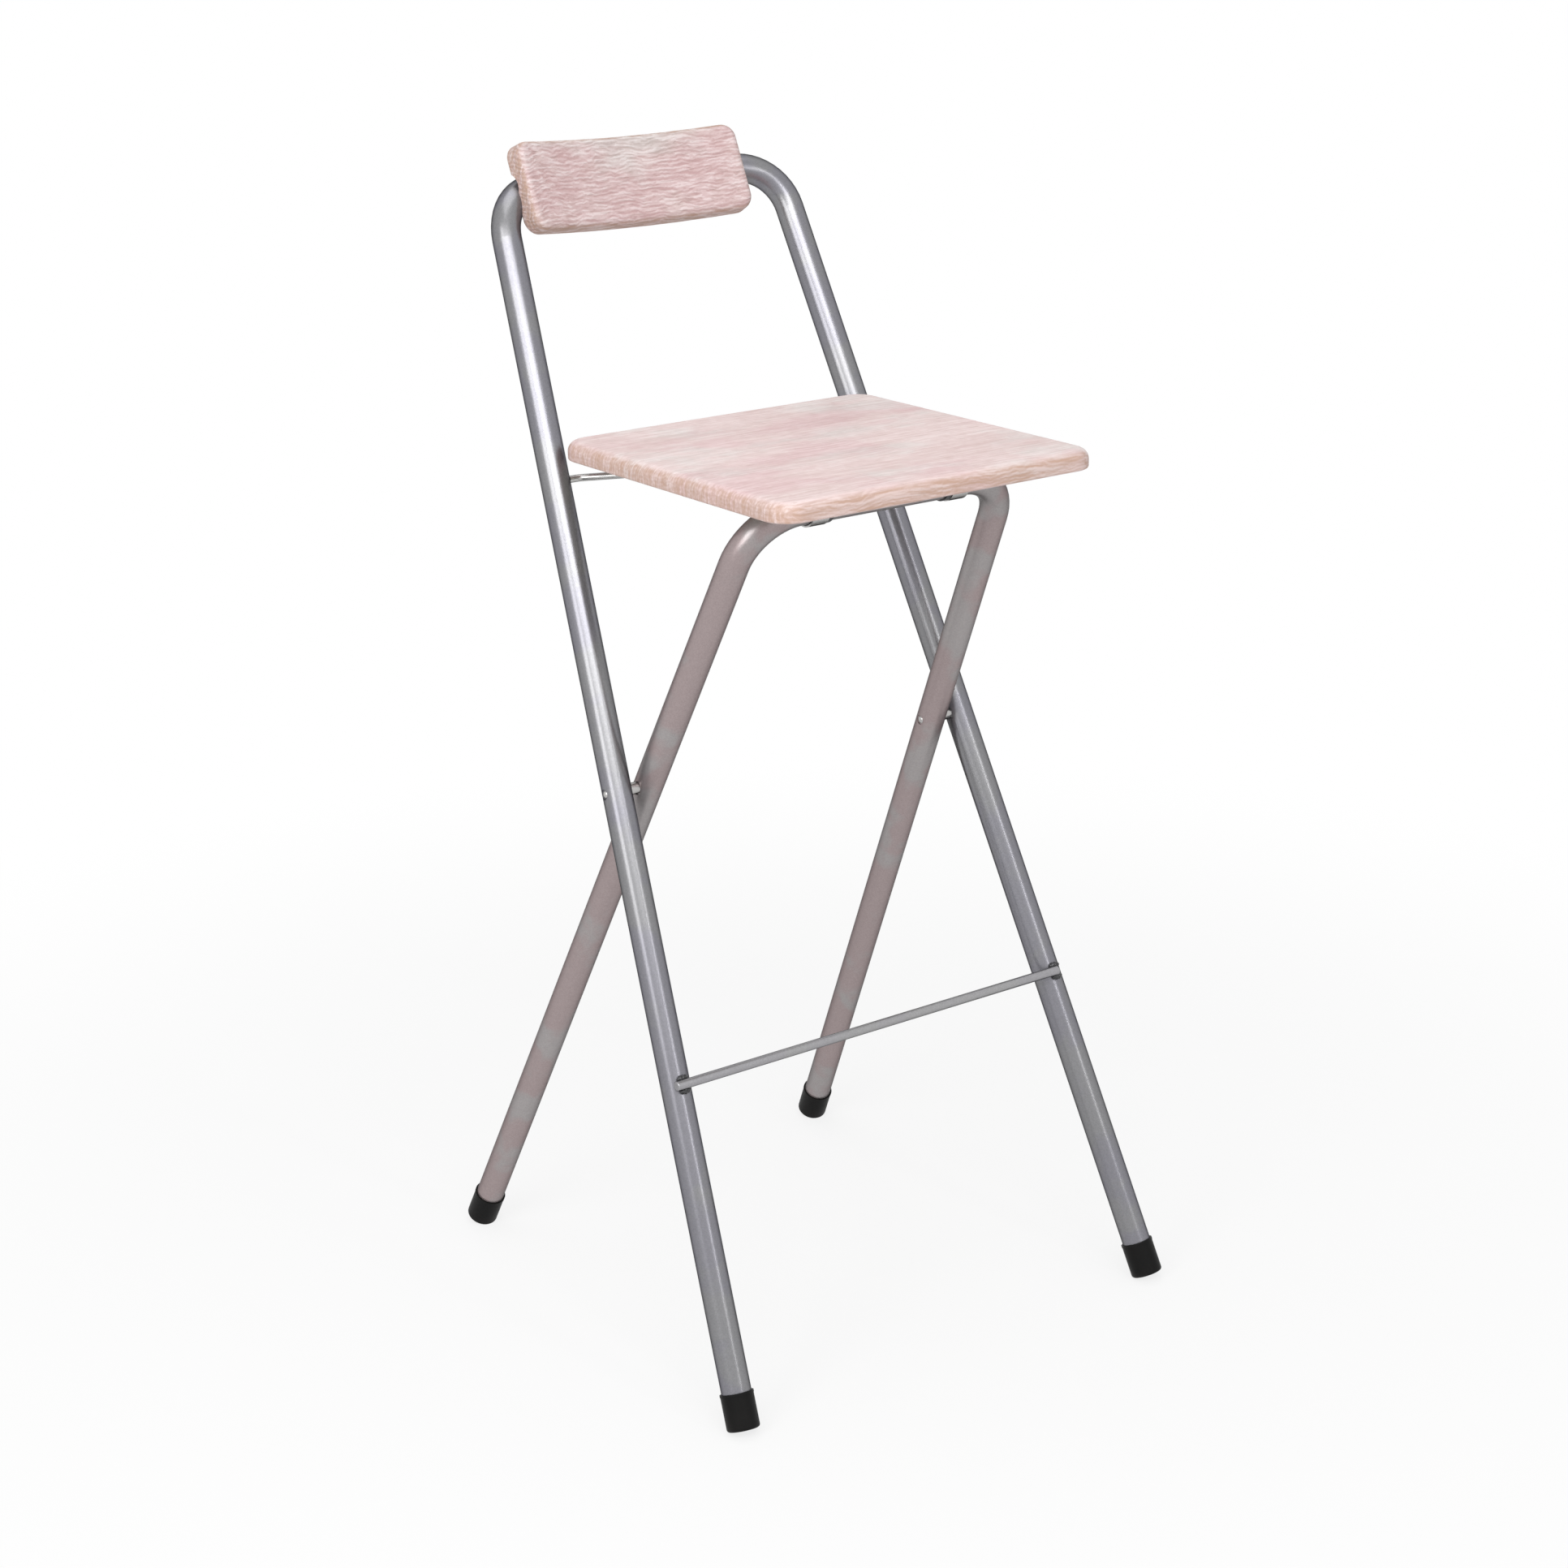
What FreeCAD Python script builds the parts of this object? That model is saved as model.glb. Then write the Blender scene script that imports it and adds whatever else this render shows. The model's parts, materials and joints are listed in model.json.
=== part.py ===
import FreeCAD, Part
import math
import os

# Folding bar stool: two crossed tube frames that turn on a pair of rivets, a square board seat
# hinged on the short frame, a bent wire stay below it, and a small curved back rest.
# Millimetres. X runs across the stool, the sitter faces -Y, Z is up.
# The origin is on the floor, midway between the front and rear feet.

V = FreeCAD.Vector
X_AXIS = V(1, 0, 0)
near = 0.01                  # how closely an edge has to lie where it is looked for
SIDES = {"left": -1, "right": 1}

# Tube frames
tube_d = 25.0
tube_wall = 1.2
tube_seam = 45.0             # degrees that the tubes' seams are turned away from what is drilled
pivot_height = 482.3
long_lean = 24.61            # degrees that the front legs and back lean rearwards
short_lean = 27.16           # degrees that the rear legs lean forwards
long_half = 180.1            # half the spacing of the long legs' centre lines at the pivot
long_splay = 4.25            # degrees that each long leg spreads outwards, going down
short_splay = 4.46
pivot_gap = 6.2              # space between the two tubes at each rivet
back_bar_reach = 511.6       # pivot to the bar behind the back rest, along the long frame
seat_bar_reach = 275.5       # pivot to the bar below the seat, along the short frame
long_bend_r = 46.0
short_bend_r = 50.0
bar_bow_angle = 10.1         # degrees that the back bar's ends turn rearwards, which bows it
bow_lead = 25.0              # straight tube below each bend that belongs to the bow's solid

# Rivets and their seats
rivet_d = 5.0
rivet_head_d = 6.4
rivet_head_h = 1.5
spacer_d = 10.0
dimple_depth = 1.1
dimple_margin = 1.2          # width of each dimple's flat around what it seats
running_gap = 0.05           # radial clearance of each turning fit
side_gap = 0.15              # end clearance of each turning fit

# Foot rest rod
rung_d = 8.0
rung_height = 267.2          # height of the rod itself
rung_past_leg = 4.6           # how far the rod's ends pass the legs' centre lines
rung_shift = -4.4             # the rod sits this far off the middle
rung_end_round = 1.0
weld_leg = 3.2               # radius of the weld beads beside the rod
weld_set = 1.0               # how far each bead's centre lies off the rod and off the leg
weld_stretch = 1.7           # each bead's length along the rod, against its height

# Seat
seat_width = 316.4
seat_front = 81.7            # from the seat bar forwards
seat_rear = 233.8            # from the seat bar rearwards
seat_thick = 16.0
seat_corner_r = 23.0
seat_top_round = 9.0
seat_under_round = 2.0
seat_bar_gap = 0.3           # between the seat bar and the board

# Hinge straps below the seat
strap_width = 16.0
strap_thick = 1.2
strap_middle = 70.0          # from the middle of the seat to the middle of each strap
strap_flange = 15.0
flange_corner_r = 3.0        # corners of the straps' and the clip's flanges
liner_thick = 0.8
liner_past = 5.0             # liner's collar beyond the strap, on the inner side
collar_rise = 0.5
screw_d = 3.6
screw_head_d = 7.4
screw_head_h = 2.2
screw_length = 11.0
recess_width = 1.0           # cross recess in each screw head
recess_depth = 1.1

# Wire stay
wire_d = 6.0
stay_fall = 7.0              # how far the stay's ends lie below the seat bar, on the long legs
stay_end_gap = 0.6           # between the stay's ends and the long legs
stay_hole_play = 0.4         # radial play of the hole in each long leg, at the stay's ends
stay_flat = 48.0             # width of the stay's straight middle, below the seat
stay_bend_r = 14.0
stay_tip = 10.0              # length of each straight end, that goes into the long leg
stay_elbow_r = 9.0
clip_width = 16.0
clip_thick = 1.2
clip_flange = 11.0

# Folded position
fold_left_over = 3.0         # degrees between the two frames when folded: the seat meets the back rest

# Back rest
pad_length = 232.8
pad_height = 77.0
pad_thick = 18.0
pad_drop = 3.8               # from the bar down to the middle of the back rest, along the long frame
pad_shift = -14.1            # the back rest sits this far off the middle of the bar
pad_groove = 6.0             # depth that the bar sinks into the back rest
pad_corner_r = 13.0
pad_front_round = 6.0
pad_rear_round = 2.0
pad_screw_d = 4.8
pad_screw_head_d = 10.0
pad_screw_head_h = 2.6
pad_screw_spacing = 110.0
pad_screw_bite = 9.0         # length of screw inside the back rest

# Rubber feet
foot_wall = 1.3
foot_cover = 26.5            # length of tube inside each foot
foot_base = 4.0
foot_round = 2.5
foot_rim = 0.3               # bead around the mouth of each foot
foot_rim_h = 2.0
foot_flat = 0.6              # depth of the worn flat that meets the floor
foot_play = 0.05


def rad(angle):
    return math.radians(angle)


# Sizes that follow from the ones above
tube_r = tube_d / 2
foot_r = tube_r + foot_wall
short_half = long_half - tube_d - pivot_gap
underside = tube_r + seat_bar_gap          # board's underside above the seat bar's centre line


def foot_overhang(share):
    """How far a foot's rounded base reaches past its centre, along a direction.

    The share is the part of the leg's own direction that points the opposite way.
    """
    return (foot_r - foot_round) * math.sqrt(1 - share ** 2) + foot_round * (1 - share)


def foot_centre_height(lean, splay):
    return foot_overhang(math.cos(rad(lean)) * math.cos(rad(splay))) - foot_flat


def floor_reach(lean, splay):
    """Distance along the floor from the pivot to a foot's outermost point."""
    fall = pivot_height - foot_centre_height(lean, splay)
    return fall * math.tan(rad(lean)) + foot_overhang(math.sin(rad(lean)) * math.cos(rad(splay)))


pivot_y = (floor_reach(long_lean, long_splay) - floor_reach(short_lean, short_splay)) / 2
pivot = V(0, pivot_y, pivot_height)


class Frame:
    """Places points of a flat tube frame: across, along from the pivot, and out of its plane."""

    def __init__(self, lean, half, splay, tilt):
        self.lean = lean
        self.half = half
        self.slope = math.tan(rad(splay))
        self.splay = splay
        self.along = V(0, tilt * math.sin(rad(lean)), math.cos(rad(lean)))
        self.out = V(0, -math.cos(rad(lean)), tilt * math.sin(rad(lean)))

    def point(self, across, along, out=0.0):
        return pivot + X_AXIS * across + self.along * along + self.out * out

    def leg(self, side, along):
        return self.point(side * (self.half - along * self.slope), along)

    def leg_direction(self, side):
        return (self.leg(side, 1) - self.leg(side, 0)).normalize()

    def foot_along(self):
        return (foot_centre_height(self.lean, self.splay) - pivot_height) / math.cos(rad(self.lean))


long_frame = Frame(long_lean, long_half, long_splay, 1)
short_frame = Frame(short_lean, short_half, short_splay, -1)
seat_bar = short_frame.point(0, seat_bar_reach)
stay_end_along = (seat_bar.z - stay_fall - pivot_height) / math.cos(rad(long_lean))
stay_end = long_frame.point(0, stay_end_along)
wire_drop = underside - running_gap - wire_d / 2     # wire's centre line above the seat bar's
board_under = seat_bar.z + underside


def stay_reach():
    """Distance from the seat bar back to the stay's middle.

    It puts the stay's two ends the same distance from its middle when the stool stands open and
    when it is folded, with the seat lying along the short frame, so that one wire fits both.
    """
    across = stay_end.y - seat_bar.y
    down = stay_end.z - seat_bar.z - wire_drop
    off = rad(fold_left_over)
    ahead = seat_bar_reach * math.cos(off) - stay_end_along
    out = seat_bar_reach * math.sin(off)
    side = out * math.cos(off) - ahead * math.sin(off)
    top = across ** 2 + down ** 2 - wire_drop ** 2 - ahead ** 2 - out ** 2 - 2 * wire_drop * side
    return top / (2 * (across + ahead * math.cos(off) + out * math.sin(off)))


stay_middle = seat_bar + V(0, stay_reach(), wire_drop)


def solid_cylinder(start, end, radius):
    way = end - start
    return Part.makeCylinder(radius, way.Length, start, way)


def arc_at_corner(before, corner, after, radius):
    """Rounds a corner of a path, and gives the arc's first, middle and last points."""
    back = (before - corner).normalize()
    on = (after - corner).normalize()
    half = back.getAngle(on) / 2
    middle_way = (back + on).normalize()
    centre = corner + middle_way * (radius / math.sin(half))
    tangent = radius / math.tan(half)
    return [corner + back * tangent, centre - middle_way * radius, corner + on * tangent]


def path_of(pieces):
    """Joins lists of two points, as straight runs, and of three points, as arcs."""
    edges = []
    for piece in pieces:
        curve = Part.LineSegment(*piece) if len(piece) == 2 else Part.Arc(*piece)
        edges.append(curve.toShape())
    return Part.Wire(edges)


def rod_along(path, start, direction, radius):
    ring = Part.Wire(Part.Circle(start, direction, radius).toShape())
    ring.rotate(start, direction, tube_seam)
    return path.makePipe(Part.Face(ring))


def tube_along(pieces):
    path = path_of(pieces)
    start, direction = pieces[0][0], pieces[0][1] - pieces[0][0]
    outside = rod_along(path, start, direction, tube_r)
    inside = rod_along(path, start, direction, tube_r - tube_wall)
    return outside.cut(inside)


def round_edges(shape, radius, chosen):
    return shape.makeFillet(radius, [edge for edge in shape.Edges if chosen(edge)])


# Tubes

def bow_angles():
    """Back bar's corner point, bend tangent, and the radius of its rearward bow."""
    corner_across = long_half - back_bar_reach * long_frame.slope
    turn = math.acos(math.sin(rad(long_splay)) * math.cos(rad(bar_bow_angle)))
    tangent = long_bend_r * math.tan(turn / 2)
    end_across = corner_across - tangent * math.cos(rad(bar_bow_angle))
    return corner_across, tangent, end_across / math.sin(rad(bar_bow_angle))


corner_across, bend_tangent, bow_r = bow_angles()
bow_centre_out = bow_r * math.cos(rad(bar_bow_angle)) - bend_tangent * math.sin(rad(bar_bow_angle))


def on_bow(angle, along, radius):
    """A point at an angle around the back bar's bow, whose centre lies in front of it."""
    out = bow_centre_out - radius * math.cos(angle)
    return long_frame.point(radius * math.sin(angle), along, out)


def long_path():
    foot = long_frame.foot_along() + foot_base
    bar_end = {side: on_bow(side * rad(bar_bow_angle), back_bar_reach, bow_r) for side in (-1, 1)}
    bend = {}
    for side in (-1, 1):
        corner = long_frame.leg(side, back_bar_reach)
        bend[side] = arc_at_corner(long_frame.leg(side, 0), corner, bar_end[side], long_bend_r)
    middle = on_bow(0, back_bar_reach, bow_r)
    return [[long_frame.leg(-1, foot), bend[-1][0]], bend[-1], [bend[-1][2], middle, bend[1][2]],
            bend[1][::-1], [bend[1][0], long_frame.leg(1, foot)]]


def short_path():
    foot = short_frame.foot_along() + foot_base
    bend = {}
    for side in (-1, 1):
        corner = short_frame.leg(side, seat_bar_reach)
        bend[side] = arc_at_corner(short_frame.leg(side, 0), corner, seat_bar, short_bend_r)
    return [[short_frame.leg(-1, foot), bend[-1][0]], bend[-1], [bend[-1][2], bend[1][2]],
            bend[1][::-1], [bend[1][0], short_frame.leg(1, foot)]]


def leg_piece(frame, side, along, radius):
    """A solid length of a leg, to shape what is pressed into it or welded on it."""
    return solid_cylinder(frame.leg(side, along - tube_d), frame.leg(side, along + tube_d), radius)


def add_dimple(tube, frame, side, outward, seat_d):
    """Presses a flat round seat into one side of a leg, at the rivet's line."""
    way = X_AXIS * outward
    centre = frame.leg(side, 0) + way * (tube_r - dimple_depth)
    seat_r = seat_d / 2 + dimple_margin
    dish = Part.makeCylinder(seat_r + tube_wall, tube_wall, centre - way * tube_wall, way)
    dish = dish.common(leg_piece(frame, side, 0, tube_r - tube_wall / 2))
    pocket = Part.makeCylinder(seat_r, tube_r, centre, way)
    return tube.fuse(dish).cut(pocket)


def pivot_holes(tube, frame, inner_seat_d, outer_seat_d):
    for side in (-1, 1):
        tube = add_dimple(tube, frame, side, side, outer_seat_d)
        tube = add_dimple(tube, frame, side, -side, inner_seat_d)
        middle = frame.leg(side, 0)
        tube = tube.cut(solid_cylinder(middle - X_AXIS * tube_d, middle + X_AXIS * tube_d,
                                       rivet_d / 2 + running_gap))
    return tube


def bow_and_legs(tube):
    """The one long tube as three solids that meet face to face below its bends.

    The legs are then straight solids, so that their collision shapes follow them closely.
    """
    start = long_frame.point(0, back_bar_reach - bend_tangent - bow_lead)
    above = solid_cylinder(start, start + long_frame.along * back_bar_reach, 2 * long_half)
    return tube.common(above).Solids + tube.cut(above).Solids


def long_frame_tube():
    tube = tube_along(long_path())
    tube = pivot_holes(tube, long_frame, spacer_d, rivet_head_d)
    for side in (-1, 1):
        elbow, leg = stay_points(side)[1:]
        tube = tube.cut(solid_cylinder(elbow, leg, wire_d / 2 + stay_hole_play))
    for start, end in pad_screw_lines():
        tube = tube.cut(solid_cylinder(start, end, pad_screw_d / 2 + running_gap))
    return bow_and_legs(tube)


def short_frame_tube():
    tube = tube_along(short_path())
    return pivot_holes(tube, short_frame, rivet_head_d, spacer_d)


# Rivets and spacers

def dome(base, way, diameter, height):
    """A low round head: a slice of a ball."""
    radius = ((diameter / 2) ** 2 + height ** 2) / (2 * height)
    ball = Part.makeSphere(radius, base + way * (height - radius))
    return ball.common(Part.makeCylinder(diameter / 2 + 1, height + 1, base, way))


def pivot_rivet(side):
    way = X_AXIS * side
    outer = V(side * (long_half + tube_r - dimple_depth), pivot.y, pivot.z)
    inner = V(side * (short_half - tube_r + dimple_depth - side_gap), pivot.y, pivot.z)
    shank = solid_cylinder(inner, outer, rivet_d / 2)
    head = dome(outer, way, rivet_head_d, rivet_head_h)
    tail = dome(inner, -way, rivet_head_d, rivet_head_h)
    return shank.fuse([head, tail])


def pivot_spacer(side):
    outer = V(side * (long_half - tube_r + dimple_depth), pivot.y, pivot.z)
    inner = V(side * (short_half + tube_r - dimple_depth + side_gap), pivot.y, pivot.z)
    return solid_cylinder(inner, outer, spacer_d / 2).cut(
        solid_cylinder(inner, outer, rivet_d / 2 + running_gap))


# Foot rest

rung_out = tube_r + rung_d / 2
rung_rise = rung_out * math.sin(rad(long_lean))
rung_along = (rung_height - rung_rise - pivot_height) / math.cos(rad(long_lean))


def rung_point(side):
    """An end of the rod."""
    reach = long_half - rung_along * long_frame.slope + rung_past_leg
    return long_frame.point(side * reach + rung_shift, rung_along, rung_out)


def rung_rod():
    return solid_cylinder(rung_point(-1), rung_point(1), rung_d / 2)


def rung():
    return round_edges(rung_rod(), rung_end_round, lambda edge: edge.Closed)


def rung_weld(side):
    """A bead above and below the rod, where it crosses the leg."""
    beads = []
    centre_across = side * (long_half - rung_along * long_frame.slope)
    for way in (-1, 1):
        along = rung_along + way * (rung_d / 2 + weld_set)
        centre = long_frame.point(centre_across, along, tube_r + weld_set)
        bead = Part.makeSphere(weld_leg)
        stretch = FreeCAD.Matrix()
        stretch.scale(V(weld_stretch, 1, 1))
        bead = bead.transformGeometry(stretch)
        bead.translate(centre)
        bead = bead.cut(leg_piece(long_frame, side, rung_along, tube_r))
        beads.append(bead.cut(rung_rod()))
    return beads


# Seat

def seat_board():
    board = Part.makeBox(seat_width, seat_front + seat_rear, seat_thick,
                         V(-seat_width / 2, seat_bar.y - seat_front, board_under))
    board = round_edges(board, seat_corner_r,
                        lambda edge: edge.BoundBox.ZLength > seat_thick - near)
    top = board_under + seat_thick
    board = round_edges(board, seat_top_round, lambda edge: edge.BoundBox.ZMin > top - near)
    board = round_edges(board, seat_under_round,
                        lambda edge: edge.BoundBox.ZMax < board_under + near)
    for line in strap_screw_lines() + clip_screw_lines():
        board = board.cut(solid_cylinder(*line, screw_d / 2 + running_gap))
    return board


def omega(across, centre, bore_r, thick, width, flange, top):
    """A strap that passes below a rod and is screwed to the board by a flange on each side."""
    low = centre.z - bore_r - thick
    left = V(across - width / 2, 0, 0)
    outer_r = bore_r + thick

    def slab(y_from, y_to, z_from, z_to):
        return Part.makeBox(width, y_to - y_from, z_to - z_from, V(left.x, y_from, z_from))

    def drum(radius):
        return Part.makeCylinder(radius, width, V(left.x, centre.y, centre.z), X_AXIS)

    shell = drum(outer_r).fuse(slab(centre.y - outer_r, centre.y + outer_r, centre.z, top))
    shell = shell.fuse(slab(centre.y - outer_r - flange, centre.y + outer_r + flange, top - thick, top))
    hollow = drum(bore_r).fuse(slab(centre.y - bore_r, centre.y + bore_r, centre.z, top + thick))
    above = slab(centre.y - 2 * outer_r, centre.y + 2 * outer_r, top, top + outer_r)
    strap = shell.cut(hollow.fuse(above))

    def is_corner(edge):
        upright = edge.BoundBox.XLength + edge.BoundBox.YLength < near
        at_end = abs(abs(edge.CenterOfMass.y - centre.y) - outer_r - flange) < near
        return upright and at_end

    return round_edges(strap, flange_corner_r, is_corner)


strap_bore = tube_r + running_gap + liner_thick


def seat_strap(side):
    strap = omega(side * strap_middle, seat_bar, strap_bore, strap_thick, strap_width, strap_flange,
                  board_under)
    for line in strap_screw_lines():
        strap = strap.cut(solid_cylinder(*line, screw_d / 2 + running_gap))
    return strap


def seat_liner(side):
    """Plastic trough between a strap and the seat bar, with a collar on its inner end."""
    start = side * (strap_middle + strap_width / 2)
    inner = side * (strap_middle - strap_width / 2)
    collar = inner - side * liner_past

    def trough(x_from, x_to, radius):
        low, high = min(x_from, x_to), max(x_from, x_to)
        round_part = Part.makeCylinder(radius, high - low, V(low, seat_bar.y, seat_bar.z), X_AXIS)
        block = Part.makeBox(high - low, 2 * radius, underside - side_gap,
                             V(low, seat_bar.y - radius, seat_bar.z))
        return round_part.fuse(block)

    body = trough(start, inner, strap_bore).fuse(trough(inner, collar, strap_bore + collar_rise))
    bore = trough(start + side, collar - side, tube_r + running_gap)
    above = Part.makeBox(4 * strap_width + liner_past, tube_d * 2, tube_d,
                         V(min(start, collar) - strap_width, seat_bar.y - tube_d,
                           board_under - side_gap))
    return body.cut(bore.fuse(above))


def strap_screw_lines():
    lines = []
    offset = strap_bore + strap_thick + strap_flange / 2
    for side in (-1, 1):
        for way in (-1, 1):
            head = V(side * strap_middle, seat_bar.y + way * offset, board_under - strap_thick)
            lines.append((head, head + V(0, 0, screw_length)))
    return lines


def clip_screw_lines():
    lines = []
    offset = wire_d / 2 + running_gap + clip_thick + clip_flange / 2
    for way in (-1, 1):
        head = V(0, stay_middle.y + way * offset, board_under - clip_thick)
        lines.append((head, head + V(0, 0, screw_length)))
    return lines


def screws(lines, shank_d, head_d, head_h):
    pieces = []
    for start, end in lines:
        way = (end - start).normalize()
        shank = solid_cylinder(start, end, shank_d / 2)
        head = dome(start, -way, head_d, head_h)
        crown = start - way * (head_h - recess_depth)
        pieces.append(shank.fuse(head).cut(cross_recess(crown, -way, head_d / 2)))
    return pieces


def cross_recess(base, way, length):
    across = way.cross(V(0, 1, 0)).normalize()
    bars = []
    for along, aside in ((across, way.cross(across)), (way.cross(across), across)):
        corner = base - along * (length / 2) - aside * (recess_width / 2)
        side = Part.makePolygon([corner, corner + along * length, corner + along * length +
                                 aside * recess_width, corner + aside * recess_width, corner])
        bars.append(Part.Face(side).extrude(way * length))
    return bars[0].fuse(bars[1])


# Wire stay

def stay_points(side):
    """A stay arm's corner below the seat, its elbow beside the long leg, and the leg's middle."""
    corner = stay_middle + X_AXIS * (side * stay_flat / 2)
    leg = long_frame.leg(side, stay_end_along)
    return corner, leg - X_AXIS * (side * (tube_r + stay_end_gap + stay_tip)), leg


def leg_clearance(side):
    """A block around a long leg that the stay's end is trimmed with, to leave its gap."""
    foot_side = long_frame.leg(side, stay_end_along - tube_d)
    run = long_frame.leg(side, stay_end_along + tube_d) - foot_side
    inwards = run.cross(long_frame.out * -side).normalize()
    corner = foot_side + inwards * (tube_r + stay_end_gap) - long_frame.out * tube_d
    across = long_frame.out * 2 * tube_d
    face = Part.makePolygon([corner, corner + run, corner + run + across, corner + across, corner])
    return Part.Face(face).extrude(inwards * -2 * tube_d)


def stay_wire():
    tip = {}
    elbow_bend = {}
    bend = {}
    for side in (-1, 1):
        corner, elbow, tip[side] = stay_points(side)
        elbow_bend[side] = arc_at_corner(tip[side], elbow, corner, stay_elbow_r)
        bend[side] = arc_at_corner(elbow, corner, stay_middle, stay_bend_r)
    path = path_of([[tip[-1], elbow_bend[-1][0]], elbow_bend[-1], [elbow_bend[-1][2], bend[-1][0]],
                    bend[-1], [bend[-1][2], bend[1][2]], bend[1][::-1],
                    [bend[1][0], elbow_bend[1][2]], elbow_bend[1][::-1], [elbow_bend[1][0], tip[1]]])
    wire = rod_along(path, tip[-1], X_AXIS, wire_d / 2)
    return wire.cut(leg_clearance(-1).fuse(leg_clearance(1)))


def stay_clip():
    clip = omega(0, stay_middle, wire_d / 2 + running_gap, clip_thick, clip_width, clip_flange,
                 board_under)
    for line in clip_screw_lines():
        clip = clip.cut(solid_cylinder(*line, screw_d / 2 + running_gap))
    return clip


# Back rest

def pad_screw_lines():
    lines = []
    for way in (-1, 1):
        angle = (pad_shift + way * pad_screw_spacing / 2) / bow_r
        head = on_bow(angle, back_bar_reach, bow_r + tube_r)
        tip = on_bow(angle, back_bar_reach, bow_r - tube_r + pad_groove - pad_screw_bite)
        lines.append((head, tip))
    return lines


def back_pad():
    rear_r = bow_r - tube_r + pad_groove
    front_r = rear_r - pad_thick
    middle = pad_shift / bow_r
    half = pad_length / 2 / rear_r
    low = back_bar_reach - pad_drop - pad_height / 2

    def arc(radius, start, end):
        return Part.Arc(on_bow(start, low, radius), on_bow((start + end) / 2, low, radius),
                        on_bow(end, low, radius)).toShape()

    outline = [arc(rear_r, middle - half, middle + half),
               Part.makeLine(on_bow(middle + half, low, rear_r), on_bow(middle + half, low, front_r)),
               arc(front_r, middle + half, middle - half),
               Part.makeLine(on_bow(middle - half, low, front_r), on_bow(middle - half, low, rear_r))]
    pad = Part.Face(Part.Wire(outline)).extrude(long_frame.along * pad_height)
    pad = round_edges(pad, pad_corner_r, lambda edge: abs(edge.Length - pad_thick) < near)

    def on_face(edge, radius):
        """Whether both ends of an edge lie on a face of the pad, at a radius around the bow."""
        for vertex in edge.Vertexes:
            offset = vertex.Point - long_frame.point(0, 0, bow_centre_out)
            if abs(math.hypot(offset.x, offset.dot(long_frame.out)) - radius) > near:
                return False
        return True

    pad = round_edges(pad, pad_front_round, lambda edge: on_face(edge, front_r))
    pad = round_edges(pad, pad_rear_round, lambda edge: on_face(edge, rear_r))
    bar = Part.Arc(*[on_bow(middle + way * half, back_bar_reach, bow_r)
                     for way in (-2, 0, 2)]).toShape()
    start = bar.valueAt(bar.FirstParameter)
    pad = pad.cut(rod_along(Part.Wire([bar]), start, bar.tangentAt(bar.FirstParameter), tube_r))
    for line in pad_screw_lines():
        pad = pad.cut(solid_cylinder(*line, pad_screw_d / 2 + running_gap))
    return pad


# Feet

def foot(frame, side):
    """A rubber cup on the end of a leg, worn flat where it stands on the floor."""
    base = frame.leg(side, frame.foot_along())
    way = frame.leg_direction(side)
    height = foot_base + foot_cover
    cup = Part.makeCylinder(foot_r, height, base, way)
    rim = Part.makeCylinder(foot_r + foot_rim, foot_rim_h, base + way * (height - foot_rim_h), way)
    cup = round_edges(cup, foot_round, lambda edge: edge.Closed and
                      (edge.CenterOfMass - base).Length < near)
    bore = Part.makeCylinder(tube_r + foot_play, height, base + way * foot_base, way)
    floor = Part.makeBox(8 * foot_r, 8 * foot_r, foot_r, base + V(-4 * foot_r, -4 * foot_r, 0) -
                         V(0, 0, base.z + foot_r))
    return cup.fuse(rim).cut(bore).cut(floor)


def save(name, shape):
    if isinstance(shape, list):
        shape = Part.makeCompound(shape)
    shape.exportStep("parts/" + name + ".step")
    print(name, len(shape.Solids), "solids", shape.isValid(), round(shape.Volume))


os.makedirs("parts", exist_ok=True)
save("long_frame_tube", long_frame_tube())
save("short_frame_tube", short_frame_tube())
save("rung", rung())
save("rung_welds", rung_weld(-1) + rung_weld(1))
save("back_pad", back_pad())
save("back_pad_screws", screws(pad_screw_lines(), pad_screw_d, pad_screw_head_d, pad_screw_head_h))
save("seat_board", seat_board())
save("strap_screws", screws(strap_screw_lines(), screw_d, screw_head_d, screw_head_h))
save("stay_wire", stay_wire())
save("stay_clip", stay_clip())
save("stay_clip_screws", screws(clip_screw_lines(), screw_d, screw_head_d, screw_head_h))
for name, side in SIDES.items():
    save("seat_strap_" + name, seat_strap(side))
    save("strap_liner_" + name, seat_liner(side))
    save("pivot_rivet_" + name, pivot_rivet(side))
    save("pivot_spacer_" + name, pivot_spacer(side))
    save("front_foot_" + name, foot(long_frame, side))
    save("rear_foot_" + name, foot(short_frame, side))
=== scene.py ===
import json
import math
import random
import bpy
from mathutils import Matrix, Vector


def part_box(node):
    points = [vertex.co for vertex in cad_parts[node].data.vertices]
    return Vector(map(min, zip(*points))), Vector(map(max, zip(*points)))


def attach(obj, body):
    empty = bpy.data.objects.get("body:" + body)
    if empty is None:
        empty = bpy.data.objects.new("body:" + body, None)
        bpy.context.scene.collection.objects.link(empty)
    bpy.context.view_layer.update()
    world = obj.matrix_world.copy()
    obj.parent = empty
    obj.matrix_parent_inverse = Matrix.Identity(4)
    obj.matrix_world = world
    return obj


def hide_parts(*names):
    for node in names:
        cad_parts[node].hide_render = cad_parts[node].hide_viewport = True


bl_info = {
    "name": "Folding Bar Stool",
    "version": (1, 0, 0),
    "blender": (4, 5, 0),
    "location": "View3D > Sidebar > Stool",
    "description": "Finishes a folding bar stool: painted tubes, oak foil boards, steel and rubber",
    "category": "Object",
}

from collections import namedtuple

import bmesh
import bpy
from bpy.props import FloatProperty, FloatVectorProperty, IntProperty, PointerProperty
from bpy.types import Operator, Panel, PropertyGroup
from mathutils import Matrix, Vector

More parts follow.
